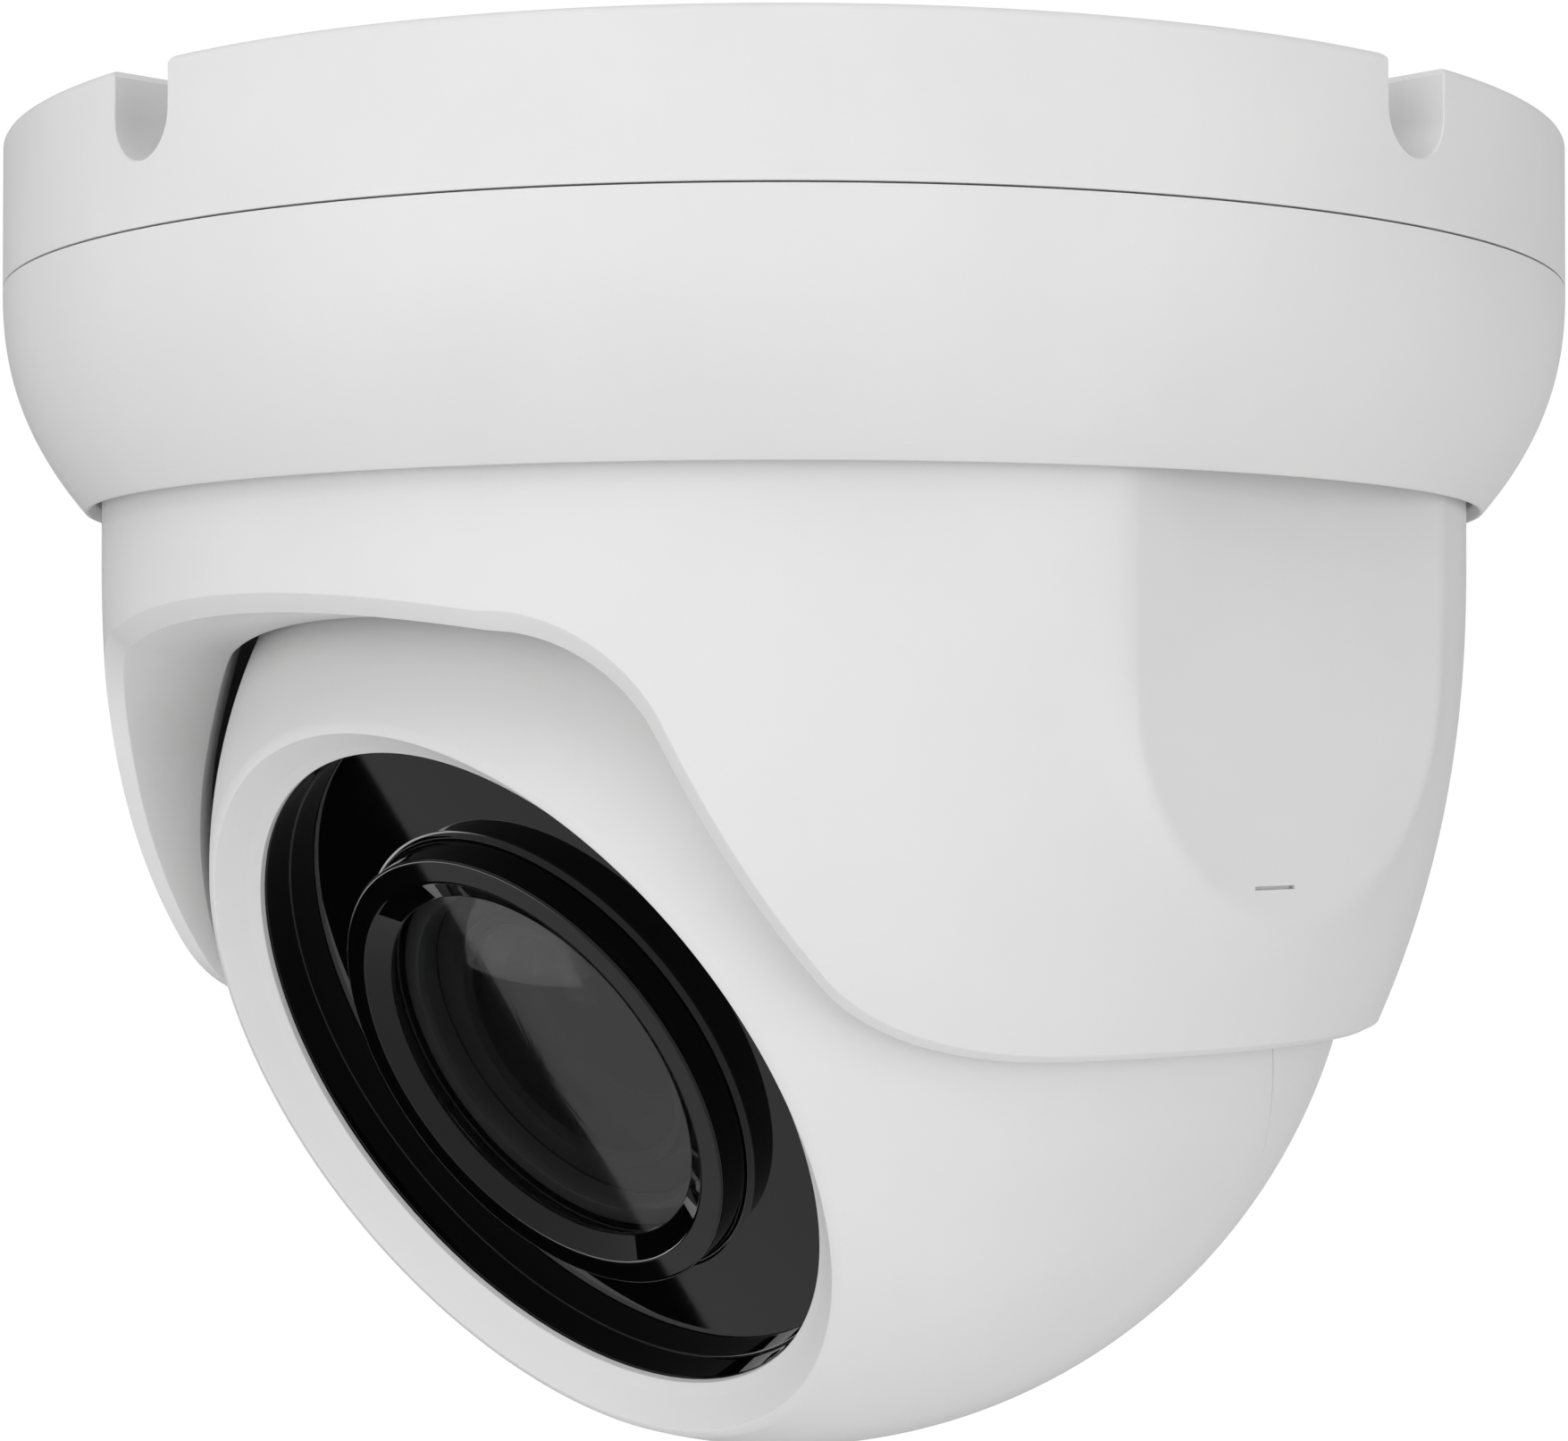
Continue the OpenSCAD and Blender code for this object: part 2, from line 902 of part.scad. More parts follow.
module ribbon_cable() {
    low = main_board_front;
    high = sensor_board_front - board_t;
    route = [
        [10, high],
        [14.4, high],
        [14.4, low],
        [10, low],
        [10, low + 0.3],
        [14.1, low + 0.3],
        [14.1, high - 0.3],
        [10, high - 0.3],
    ];
    color("ivory")
        on_lens_axis()
            translate([-5, 0, 0])
                rotate([90, 0, 90])
                    linear_extrude(10)
                        polygon(route);
}

module standoffs() {
    spans = [[main_board_front, sensor_board_front - board_t], [sensor_board_front, bracket_front - bracket_t]];
    color("goldenrod")
        on_lens_axis()
            for (x = [-standoff_at, standoff_at])
                for (y = [-standoff_at, standoff_at])
                    for (span = spans)
                        translate([x, y, 0])
                            tube(standoff_r, 1.02, span[0], span[1]);
}

module main_board() {
    color("darkgreen")
        on_lens_axis()
            difference() {
                rounded_board(main_half, main_board_front - board_t, board_t, 2);
                for (x = [-standoff_at, standoff_at])
                    for (y = [-standoff_at, standoff_at])
                        translate([x, y, main_board_front - board_t - past])
                            cylinder(r = 1.05, h = board_t + 2 * past);
            }
}

module board_screws() {
    low = main_board_front - board_t;
    color("silver")
        on_lens_axis()
            for (x = [-standoff_at, standoff_at])
                for (y = [-standoff_at, standoff_at]) {
                    translate([x, y, low])
                        cap_screw(board_screw_r, 5, 1.8, 1.2);
                    translate([x, y, bracket_front - bracket_t - 4])
                        cylinder(r = board_screw_r, h = 4 + bracket_t);
                }
}

module processor() {
    color("black")
        on_lens_axis()
            translate([-6, -8, main_board_front - board_t - 1.2])
                cube([12, 12, 1.2]);
}

module heat_sink() {
    low = main_board_front - board_t - 1.2;
    color("silver")
        on_lens_axis()
            difference() {
                translate([-8, -10, low - 6.5])
                    cube([16, 16, 6.5]);
                for (i = [0 : 4])
                    translate([-6.6 + i * 2.9, -10 - past, low - 6.5 - past])
                        cube([1.6, 16 + 2 * past, 4.8 + past]);
            }
}

module board_connector() {
    low = main_board_front - board_t;
    color("ivory")
        on_lens_axis()
            difference() {
                translate([-6, 8.5, low - 5])
                    cube([12, 5, 5]);
                translate([-5.2, 9.3, low - 5 - past])
                    cube([10.4, 3.4, 4 + past]);
            }
}

base();
ceiling_gasket();
friction_ring();
twist_ring();
swivel_shell();
tilt_yoke();
pivot_pins();
roll_hub();
hub_clip();
cable_grommet();
ball_front();
ball_rear();
ball_seal();
ball_screws();
front_window();
window_seal();
lens_pane();
front_bracket();
bracket_screws();
ir_board();
ir_lamps();
light_sensor();
foam_collar();
lens_barrel();
front_lens();
middle_lens();
rear_lens();
lens_holder();
filter_frame();
filter_glasses();
filter_coil();
sensor_board();
image_sensor();
ribbon_cable();
standoffs();
main_board();
processor();
heat_sink();
board_screws();
board_connector();
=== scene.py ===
"""Looks of a ceiling turret camera: white satin housing, black glossy window, glass lens."""
import json
import math

import bmesh
import bpy
from mathutils import Matrix, Vector


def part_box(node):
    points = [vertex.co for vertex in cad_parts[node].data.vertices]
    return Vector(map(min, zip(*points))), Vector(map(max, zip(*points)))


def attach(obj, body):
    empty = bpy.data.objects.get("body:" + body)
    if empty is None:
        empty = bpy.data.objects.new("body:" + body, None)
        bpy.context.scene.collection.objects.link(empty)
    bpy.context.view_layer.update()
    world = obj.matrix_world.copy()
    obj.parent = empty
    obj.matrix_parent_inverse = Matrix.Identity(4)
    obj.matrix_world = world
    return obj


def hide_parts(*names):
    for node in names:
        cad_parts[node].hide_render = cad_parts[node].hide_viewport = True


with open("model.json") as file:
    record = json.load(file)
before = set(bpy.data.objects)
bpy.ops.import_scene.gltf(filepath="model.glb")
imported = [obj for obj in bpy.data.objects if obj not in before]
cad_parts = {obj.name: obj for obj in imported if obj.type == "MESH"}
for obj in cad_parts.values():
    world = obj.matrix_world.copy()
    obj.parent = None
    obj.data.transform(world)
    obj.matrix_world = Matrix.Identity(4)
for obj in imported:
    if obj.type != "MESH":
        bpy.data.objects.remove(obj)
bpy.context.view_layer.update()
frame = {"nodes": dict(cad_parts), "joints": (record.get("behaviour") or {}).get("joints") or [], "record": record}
nodes = frame["nodes"]
joints = {j["name"]: j for j in frame["joints"]}
scene = bpy.context.scene

MM = 0.001


# ---------------------------------------------------------------- sizes, from the frame (mm)

def half_width(node):
    low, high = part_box(node)
    return (high.x - low.x) / 2 / MM


def top_of(node):
    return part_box(node)[1].z / MM


def bottom_of(node):
    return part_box(node)[0].z / MM


BASE_R = half_width("base")
BASE_BOTTOM = -8.6
COLLAR_BOTTOM = bottom_of("base")
RING_TOP = top_of("twist_ring")
RING_BOTTOM = bottom_of("twist_ring")
SHELL_TOP = top_of("swivel_shell")
SHELL_BOTTOM = bottom_of("swivel_shell")
BALL_R = half_width("ball_front")
BALL_CENTRE = Vector(joints["tilt"]["pos_m"]) / MM
LENS_WAY = Vector(joints["roll"]["axis"]).normalized()

# The ball's own frame: x to the right, y up, z along the lens axis
LENS_FRAME = Matrix.Translation(BALL_CENTRE * MM) @ Matrix((
    (1, 0, 0, 0),
    (0, LENS_WAY.z, LENS_WAY.y, 0),
    (0, -LENS_WAY.y, LENS_WAY.z, 0),
    (0, 0, 0, 1),
))


# ---------------------------------------------------------------- mesh helpers

def smooth(mesh, sharp):
    mesh.shade_smooth()
    mesh.set_sharp_from_angle(angle=math.radians(sharp))


def mesh_from(name, points, faces, matrix=None, sharp=40):
    mesh = bpy.data.meshes.new(name)
    mesh.from_pydata([Vector(p) * MM for p in points], [], faces)
    bm = bmesh.new()
    bm.from_mesh(mesh)
    bmesh.ops.remove_doubles(bm, verts=bm.verts, dist=1e-7)
    bmesh.ops.dissolve_degenerate(bm, edges=bm.edges, dist=1e-7)
    bmesh.ops.recalc_face_normals(bm, faces=bm.faces)
    bm.to_mesh(mesh)
    bm.free()
    if matrix is not None:
        mesh.transform(matrix)
    smooth(mesh, sharp)
    piece = bpy.data.objects.new(name, mesh)
    scene.collection.objects.link(piece)
    return piece


def bend(before, here, after, radius, steps):
    """Points of a rounded corner at here, for 2-D or 3-D vectors."""
    to_before, to_after = before - here, after - here
    half = to_before.angle(to_after, math.pi) / 2
    if radius <= 0 or half > 1.5:
        return [here.copy() for _ in range(steps + 1)]
    reach = min(radius / math.tan(half), to_before.length * 0.49, to_after.length * 0.49)
    first = here + to_before.normalized() * reach
    last = here + to_after.normalized() * reach
    middle = here + (to_before.normalized() + to_after.normalized()).normalized() * (
        reach / math.cos(half)
    )
    radius = reach * math.tan(half)
    points = []
    for k in range(steps + 1):
        straight = first.lerp(last, k / steps) - middle
        points.append(middle + straight.normalized() * radius)
    return points


def rounded(profile, steps=4):
    """Closed profile of (r, z) or (r, z, corner radius), with an arc at each such radius."""
    corners = [Vector(p[:2]) for p in profile]
    out = []
    for i, p in enumerate(profile):
        if len(p) < 3 or p[2] <= 0:
            out.append(corners[i])
        else:
            after = corners[(i + 1) % len(corners)]
            out += bend(corners[i - 1], corners[i], after, p[2], steps)
    # a point close to each end of a straight stretch keeps its shading flat
    held = []
    for i, here in enumerate(out):
        after = out[(i + 1) % len(out)]
        held.append(here)
        length = (after - here).length
        if length > 0.6 and here.x + after.x > 0:
            held.append(here.lerp(after, 0.06 / length))
            held.append(after.lerp(here, 0.06 / length))
    return held


def revolve(name, profile, matrix=None, segments=256, sharp=40, turn=360):
    """Solid of revolution of a closed profile about z; below 360 degrees, a closed wedge."""
    whole = turn == 360
    stations = segments if whole else segments + 1
    count = len(profile)
    points = []
    for s in range(stations):
        a = math.radians(turn) * s / segments
        points += [(p[0] * math.cos(a), p[0] * math.sin(a), p[1]) for p in profile]
    faces = []
    for s in range(segments):
        n = (s + 1) % stations
        for i in range(count):
            j = (i + 1) % count
            faces.append((s * count + i, n * count + i, n * count + j, s * count + j))
    if not whole:
        faces.append(tuple(range(count)))
        faces.append(tuple(segments * count + i for i in range(count)))
    return mesh_from(name, points, faces, matrix, sharp)


def arc(radius, start, end, steps, centre=(0, 0)):
    points = []
    for i in range(steps + 1):
        a = math.radians(start + (end - start) * i / steps)
        points.append((centre[0] + radius * math.cos(a), centre[1] + radius * math.sin(a)))
    return points


def rod(name, radius, low, high, matrix=None, segments=64):
    return revolve(name, [(0, low), (radius, low), (radius, high), (0, high)], matrix, segments)


def combine(piece, tools, operation, sharp=40):
    """Boolean of piece with each tool, applied to its mesh; the tools are used up."""
    for tool in tools:
        modifier = piece.modifiers.new("cut", "BOOLEAN")
        modifier.operation = operation
        modifier.solver = "EXACT"
        modifier.object = tool
    depsgraph = bpy.context.evaluated_depsgraph_get()
    mesh = bpy.data.meshes.new_from_object(piece.evaluated_get(depsgraph))
    piece.modifiers.clear()
    old = piece.data
    piece.data = mesh
    bpy.data.meshes.remove(old)
    mesh.name = piece.name
    for tool in tools:
        used = tool.data
        bpy.data.objects.remove(tool)
        bpy.data.meshes.remove(used)
    smooth(mesh, sharp)


def turned(degrees, axis="Z"):
    return Matrix.Rotation(math.radians(degrees), 4, axis)


def moved(x, y, z):
    return Matrix.Translation(Vector((x, y, z)) * MM)


def finish_piece(piece, body, slot, material, *replaced):
    piece.data.materials.clear()
    piece.data.materials.append(material)
    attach(piece, body)
    if replaced:
        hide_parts(*replaced)


# ---------------------------------------------------------------- materials

def new_material(name):
    material = bpy.data.materials.new(name)
    material.use_nodes = True
    tree = material.node_tree
    return material, tree, tree.nodes["Principled BSDF"]


def noise(tree, scale, detail=2.0, roughness=0.5, stretch=None):
    """Noise over object coordinates, in cells per metre."""
    place = tree.nodes.new("ShaderNodeTexCoord")
    texture = tree.nodes.new("ShaderNodeTexNoise")
    texture.inputs["Scale"].default_value = scale
    texture.inputs["Detail"].default_value = detail
    texture.inputs["Roughness"].default_value = roughness
    source = place.outputs["Object"]
    if stretch is not None:
        mapping = tree.nodes.new("ShaderNodeMapping")
        mapping.inputs["Scale"].default_value = stretch
        tree.links.new(source, mapping.inputs["Vector"])
        source = mapping.outputs["Vector"]
    tree.links.new(source, texture.inputs["Vector"])
    return texture


def ramp_value(tree, source, low, high):
    """Map a 0 to 1 texture value to the range from low to high."""
    span = tree.nodes.new("ShaderNodeMapRange")
    span.inputs["To Min"].default_value = low
    span.inputs["To Max"].default_value = high
    span.inputs["From Min"].default_value = 0.3
    span.inputs["From Max"].default_value = 0.7
    tree.links.new(source, span.inputs["Value"])
    return span.outputs["Result"]


def ramp_colour(tree, source, dark, light):
    mix = tree.nodes.new("ShaderNodeMix")
    mix.data_type = "RGBA"
    mix.inputs["A"].default_value = (*dark, 1)
    mix.inputs["B"].default_value = (*light, 1)
    tree.links.new(source, mix.inputs["Factor"])
    return mix.outputs["Result"]


def bump(tree, source, strength, distance):
    node = tree.nodes.new("ShaderNodeBump")
    node.inputs["Strength"].default_value = strength
    node.inputs["Distance"].default_value = distance
    tree.links.new(source, node.inputs["Height"])
    return node.outputs["Normal"]


def moulded(name, dark, light, rough, grain=5200, grain_depth=0.00002, strength=0.25,
            specular=0.5, patches=90):
    """Moulded plastic, foam or rubber: fine grain, and faint patches in its colour."""
    material, tree, shader = new_material(name)
    fine = noise(tree, grain, 3, 0.6)
    broad = noise(tree, patches, 3, 0.55)
    tree.links.new(
        ramp_colour(tree, ramp_value(tree, broad.outputs["Fac"], 0, 1), dark, light),
        shader.inputs["Base Color"],
    )
    tree.links.new(ramp_value(tree, fine.outputs["Fac"], *rough), shader.inputs["Roughness"])
    tree.links.new(
        bump(tree, fine.outputs["Fac"], strength, grain_depth), shader.inputs["Normal"]
    )
    shader.inputs["Specular IOR Level"].default_value = specular
    return material


def metal(name, dark, light, rough, stretch):
    """Machined or plated metal: fine marks drawn out along one direction."""
    material, tree, shader = new_material(name)
    marks = noise(tree, 900, 4, 0.65, stretch)
    tree.links.new(
        ramp_colour(tree, ramp_value(tree, marks.outputs["Fac"], 0, 1), dark, light),
        shader.inputs["Base Color"],
    )
    tree.links.new(ramp_value(tree, marks.outputs["Fac"], *rough), shader.inputs["Roughness"])
    tree.links.new(bump(tree, marks.outputs["Fac"], 0.3, 0.00002), shader.inputs["Normal"])
    shader.inputs["Metallic"].default_value = 1
    return material


def clear(name, colour, ior, rough):
    """Solid glass that light is bent by, with the faintest unevenness of polish."""
    material, tree, shader = new_material(name)
    polish = noise(tree, 300, 2)
    tree.links.new(
        ramp_value(tree, polish.outputs["Fac"], *rough), shader.inputs["Roughness"]
    )
    shader.inputs["Base Color"].default_value = (*colour, 1)
    shader.inputs["Transmission Weight"].default_value = 1
    shader.inputs["IOR"].default_value = ior
    return material


def coated(name, colour, cover, ior, rough):
    """Coated glass that bends no light; cover is its opacity, and a high ior its coating."""
    material, tree, shader = new_material(name)
    polish = noise(tree, 300, 2)
    tree.links.new(
        ramp_value(tree, polish.outputs["Fac"], *rough), shader.inputs["Roughness"]
    )
    shader.inputs["Base Color"].default_value = (*colour, 1)
    shader.inputs["Alpha"].default_value = cover
    shader.inputs["IOR"].default_value = ior
    return material


housing = moulded(
    "housing_white", (0.62, 0.62, 0.62), (0.64, 0.64, 0.638), (0.4, 0.5),
)
window_gloss = moulded(
    "window_gloss", (0.0012, 0.0012, 0.0013), (0.0016, 0.0016, 0.0018), (0.018, 0.024),
    grain=900, grain_depth=0.000001, strength=0.02,
)
lens_satin = moulded(
    "lens_satin", (0.006, 0.006, 0.0065), (0.01, 0.01, 0.0105), (0.32, 0.45), specular=0.35,
)
barrel_satin = moulded(
    "barrel_satin", (0.13, 0.13, 0.132), (0.15, 0.15, 0.152), (0.4, 0.5), specular=0.35,
)
rubber = moulded("rubber", (0.02, 0.02, 0.021), (0.035, 0.035, 0.035), (0.6, 0.75), grain=3500)
foam = moulded(
    "foam", (0.05, 0.05, 0.052), (0.11, 0.11, 0.11), (0.85, 0.95), grain=1900,
    grain_depth=0.00015, strength=0.7,
)
slip_plastic = moulded(
    "slip_plastic", (0.74, 0.72, 0.66), (0.8, 0.785, 0.73), (0.35, 0.45), grain=4000,
)
chip = moulded("chip", (0.016, 0.016, 0.018), (0.028, 0.028, 0.03), (0.4, 0.55), grain=6000)
mask = moulded(
    "solder_mask", (0.008, 0.075, 0.035), (0.014, 0.11, 0.055), (0.22, 0.34), grain=1500,
)
lamp = moulded("lamp", (0.72, 0.7, 0.5), (0.85, 0.83, 0.68), (0.08, 0.16), grain=2500)
steel = metal("steel", (0.5, 0.51, 0.53), (0.66, 0.67, 0.69), (0.24, 0.4), (1, 1, 6))
aluminium = metal("aluminium", (0.66, 0.67, 0.69), (0.8, 0.81, 0.82), (0.28, 0.42), (8, 1, 1))
brass = metal("brass", (0.62, 0.45, 0.2), (0.78, 0.6, 0.3), (0.2, 0.35), (1, 1, 8))
copper = metal("copper", (0.55, 0.24, 0.12), (0.72, 0.36, 0.2), (0.25, 0.4), (9, 1, 1))
clear_pane = coated("clear_pane", (0.002, 0.002, 0.002), 0.4, 2.3, (0.016, 0.022))
lens_glass = coated("lens_glass", (0.003, 0.003, 0.0035), 0.35, 2.2, (0.006, 0.012))
filter_glass = clear("filter_glass", (0.55, 0.8, 0.85), 1.5, (0.01, 0.03))

SLOT_MATERIALS = {
    "white_housing": housing, "window_black": window_gloss, "lens_black": lens_satin,
    "clear_pane": clear_pane, "lens_glass": lens_glass, "filter_glass": filter_glass,
    "rubber": rubber, "foam": foam, "slip_plastic": slip_plastic, "steel": steel,
    "aluminium": aluminium, "brass": brass, "copper": copper, "circuit_board": mask,
    "chip": chip, "lamp": lamp,
}
slot_of = {row["node"]: row["material_slot"] for row in frame["record"]["subparts"]}
for name, node in nodes.items():
    node.data.materials.clear()
    node.data.materials.append(SLOT_MATERIALS[slot_of[name]])


# ---------------------------------------------------------------- base

PLATE_TOP = -3
PLATE_BOTTOM = -5
SCREW_ANGLES = (30, 150, 270)
SCREW_RING_R = 36
SCREW_HOLE_R = 2.25
SCREW_BOSS_R = 5
CABLE_HOLE_R = 8
COLLAR_R = BASE_R - 3.1
COLLAR_INNER_R = 41.4
RIM_INNER_R = BASE_R - 4.1
NOTCH_HALF = 2.45
NOTCH_DEPTH = 5.1
NOTCH_START_R = 42.4
NOTCH_BREAK = 0.35
NOTCH_STEPS = 24
LUG_ARC = 12
UNLOCK_TURN = 25
LUG_TOP = BASE_BOTTOM - 1
LUG_H = 1.6
LUG_INNER_R = 42.9
LUG_ANGLES = (0, 120, 240)
LUG_PLAY = 0.2
CHANNEL_INNER_R = 42.6
CHANNEL_OUTER_R = 45
ENTRY_INNER_R = 42.4
ENTRY_LOW = -14


def notch_cutter(turn):
    """U-shaped slot through the rim along +X, turned about z, with a narrow break of its edges."""
    stations = [(NOTCH_START_R, 0), (BASE_R - 0.14, 0), (BASE_R - 0.02, 0.08), (BASE_R + 1, 0.7)]
    outline = [Vector((NOTCH_HALF * math.cos(a), NOTCH_HALF * math.sin(a))) for a in (
        math.pi + math.pi * i / NOTCH_STEPS for i in range(NOTCH_STEPS + 1)
    )]
    points = []
    for x, flare in stations:
        grow = (NOTCH_HALF + flare) / NOTCH_HALF
        ring = [(p.x * grow, p.y * grow + NOTCH_HALF - NOTCH_DEPTH) for p in outline]
        side = NOTCH_HALF + flare
        ring += [(side, -NOTCH_BREAK), (side + NOTCH_BREAK, 0.02), (side + NOTCH_BREAK, 1)]
        ring += [(-side - NOTCH_BREAK, 1), (-side - NOTCH_BREAK, 0.02), (-side, -NOTCH_BREAK)]
        points += [(x, y, z) for y, z in ring]
    count = len(points) // len(stations)
    faces = [tuple(range(count)), tuple(range(len(points) - count, len(points)))]
    for s in range(len(stations) - 1):
        for i in range(count):
            j = (i + 1) % count
            faces.append((s * count + i, s * count + j, (s + 1) * count + j, (s + 1) * count + i))
    return mesh_from("notch", points, faces, turned(turn))


def channel_cutters(turn):
    """The slot that a lug of the twist ring runs in, and its way in from below."""
    low = LUG_TOP - LUG_H - LUG_PLAY
    high = LUG_TOP + LUG_PLAY
    overlap = low + 0.2
    start = turned(turn - LUG_ARC / 2 - 1)
    run = revolve(
        "channel", [(CHANNEL_INNER_R, low), (CHANNEL_OUTER_R, low), (CHANNEL_OUTER_R, high),
                    (CHANNEL_INNER_R, high)],
        start, 48, turn=LUG_ARC + UNLOCK_TURN + 2,
    )
    entry = revolve(
        "entry", [(ENTRY_INNER_R, ENTRY_LOW), (CHANNEL_OUTER_R, ENTRY_LOW),
                  (CHANNEL_OUTER_R, overlap), (ENTRY_INNER_R, overlap)],
        start @ turned(UNLOCK_TURN + 1), 24, turn=LUG_ARC + 2,
    )
    return [run, entry]


base = revolve("base_body", rounded([
    (CABLE_HOLE_R, PLATE_TOP, 0.3), (RIM_INNER_R, PLATE_TOP, 0.5), (RIM_INNER_R, 0, 0.35),
    (BASE_R, 0, 0.42), (BASE_R, BASE_BOTTOM, 0.05), (COLLAR_R, BASE_BOTTOM),
    (COLLAR_R, COLLAR_BOTTOM, 0.2), (COLLAR_INNER_R, COLLAR_BOTTOM, 0.2),
    (COLLAR_INNER_R, PLATE_BOTTOM, 0.6), (CABLE_HOLE_R, PLATE_BOTTOM, 0.3),
]), segments=384)
bosses = [
    revolve("boss", rounded([
        (0, PLATE_BOTTOM + 0.5), (SCREW_BOSS_R, PLATE_BOTTOM + 0.5), (SCREW_BOSS_R, 0, 0.35),
        (0, 0),
    ]), turned(a) @ moved(SCREW_RING_R, 0, 0), 72)
    for a in SCREW_ANGLES
]
combine(base, bosses, "UNION", 32)
cutters = [notch_cutter(a) for a in (0, 90, 180, 270)]
for a in SCREW_ANGLES:
    place = turned(a) @ moved(SCREW_RING_R, 0, 0)
    cutters.append(rod("hole", SCREW_HOLE_R, PLATE_BOTTOM - 1, 1, place, 48))
    cutters.append(revolve(
        "sink", [(0, PLATE_BOTTOM - 0.5), (SCREW_HOLE_R + 1, PLATE_BOTTOM - 0.5),
                 (SCREW_HOLE_R, PLATE_BOTTOM + 0.5), (0, PLATE_BOTTOM + 0.5)],
        place, 48,
    ))
for a in LUG_ANGLES:
    cutters += channel_cutters(a)
combine(base, cutters, "DIFFERENCE", 32)
finish_piece(base, "mount_base", "white_housing", housing, "base")


# ---------------------------------------------------------------- twist ring

LEDGE = -16.4
RING_BORE = COLLAR_R + 0.3
RING_LIP_BORE = 41.65
RING_LIP_R = 42.1
RING_CURVE = 2.3
RING_STEPS = 32
ring_h = RING_TOP - RING_BOTTOM
outside = []
for i in range(RING_STEPS + 1):
    below = ring_h * i / RING_STEPS
    inset = (BASE_R - RING_LIP_R) * (below / ring_h) ** RING_CURVE
    outside.append((BASE_R - inset, RING_TOP - below))
outside[0] = (*outside[0], 0.05)
outside[-1] = (*outside[-1], 0.16)
ring = revolve("twist_ring_body", rounded(outside + [
    (RING_LIP_BORE, RING_BOTTOM + 0.75, 0.15), (RING_LIP_BORE, LEDGE, 0.2), (RING_BORE, LEDGE),
    (RING_BORE, RING_TOP, 0.15),
]), segments=384)
lugs = [
    revolve("lug", rounded([
        (LUG_INNER_R, LUG_TOP - LUG_H, 0.2), (RING_BORE + 0.5, LUG_TOP - LUG_H),
        (RING_BORE + 0.5, LUG_TOP), (LUG_INNER_R, LUG_TOP, 0.2),
    ]), turned(a - LUG_ARC / 2), 16, turn=LUG_ARC)
    for a in LUG_ANGLES
]
combine(ring, lugs, "UNION")
finish_piece(ring, "ring", "white_housing", housing, "twist_ring")


# ---------------------------------------------------------------- swivel shell

SHELL_R = 41.25
SHELL_CURVE = 2.3
SHELL_CURVE_TOP = -24
SHELL_CURVE_DROP = 27.8
SHELL_CURVE_INSET = 5.25
FLANGE_R = 43.4
FLANGE_BOTTOM = SHELL_TOP - 2.4
NECK_BORE = 38.8
NECK_RISE = 16.75
CAVITY_R = 36
CAVITY_HALF_WIDTH = 36.1
EDGE_Z = SHELL_BOTTOM + 0.35
COLLAR_WALL = 2
ARCH_TOP = -28
ARCH_CROWN_R = 100
ARCH_SHOULDER_X = 22.4
ARCH_SHOULDER_Z = -30
ARCH_FOOT_X = 29.2
ARCH_FOOT_STEPS = 16
LIP_DEPTH = 1.0
RIM_DEPTH = 0.7
SEAT_RISE = 0.6
SEAT_TOP = -26.05
PAD_X = 38.95
PAD_R = 13.5
PAD_CENTRE_Z = -31.6
PAD_SLOPE = 1.4
PAD_DEPTH = 3.5
PAD_EDGE_BLEND = 0.7
PAD_FACE_BLEND = 0.3
SLIT_SIZE = (0.6, 3.4, 0.2)
SLIT_Y = -1.7
SLIT_Z = -43.1
PIN_BORE_R = 2.55
PIN_BORE_END = 37.4


def shell_radius(z):
    """Radius of the shell's round outside, without the pads at its sides."""
    below = max(0, SHELL_CURVE_TOP - z)
    return SHELL_R - SHELL_CURVE_INSET * (below / SHELL_CURVE_DROP) ** SHELL_CURVE


def soft_min(a, b, k):
    h = max(k - abs(a - b), 0) / k
    return min(a, b) - h * h * k / 4


def soft_max(a, b, k):
    return -soft_min(-a, -b, k)


def pad_side_at(turn, z):
    """Distance from the axis of the sloping edge round the pad at the shell's side."""
    across, along = abs(math.cos(turn)), math.sin(turn)
    if across < 0.86:
        return 0
    reach = PAD_R + PAD_SLOPE * PAD_X
    drop = min(0, z - PAD_CENTRE_Z)
    a = (PAD_SLOPE * across) ** 2 - along ** 2
    b = PAD_SLOPE * across * reach
    radius = (b - math.sqrt(b * b - a * (reach ** 2 - drop ** 2))) / a
    return radius if radius * across > PAD_X - PAD_DEPTH else 0


def outside_at(turn, z):
    """Distance from the axis of the shell's outside, at an angle from +X, with its side pads."""
    radius = soft_max(shell_radius(z), pad_side_at(turn, z), PAD_EDGE_BLEND)
    across = abs(math.cos(turn))
    return soft_min(radius, PAD_X / across, PAD_FACE_BLEND) if across > 0.6 else radius


def inside_at(turn, z):
    """Distance from the axis of the shell's inside."""
    drop = z - BALL_CENTRE.z
    if drop < 0:
        radius = math.sqrt(CAVITY_R ** 2 - drop ** 2)
    else:
        radius = min(NECK_BORE, CAVITY_R + (NECK_BORE - CAVITY_R) * drop / NECK_RISE)
    across = abs(math.cos(turn))
    return min(radius, CAVITY_HALF_WIDTH / across) if across > 0.5 else radius


def at(turn, radius, z):
    return Vector((radius * math.cos(turn), radius * math.sin(turn), z))


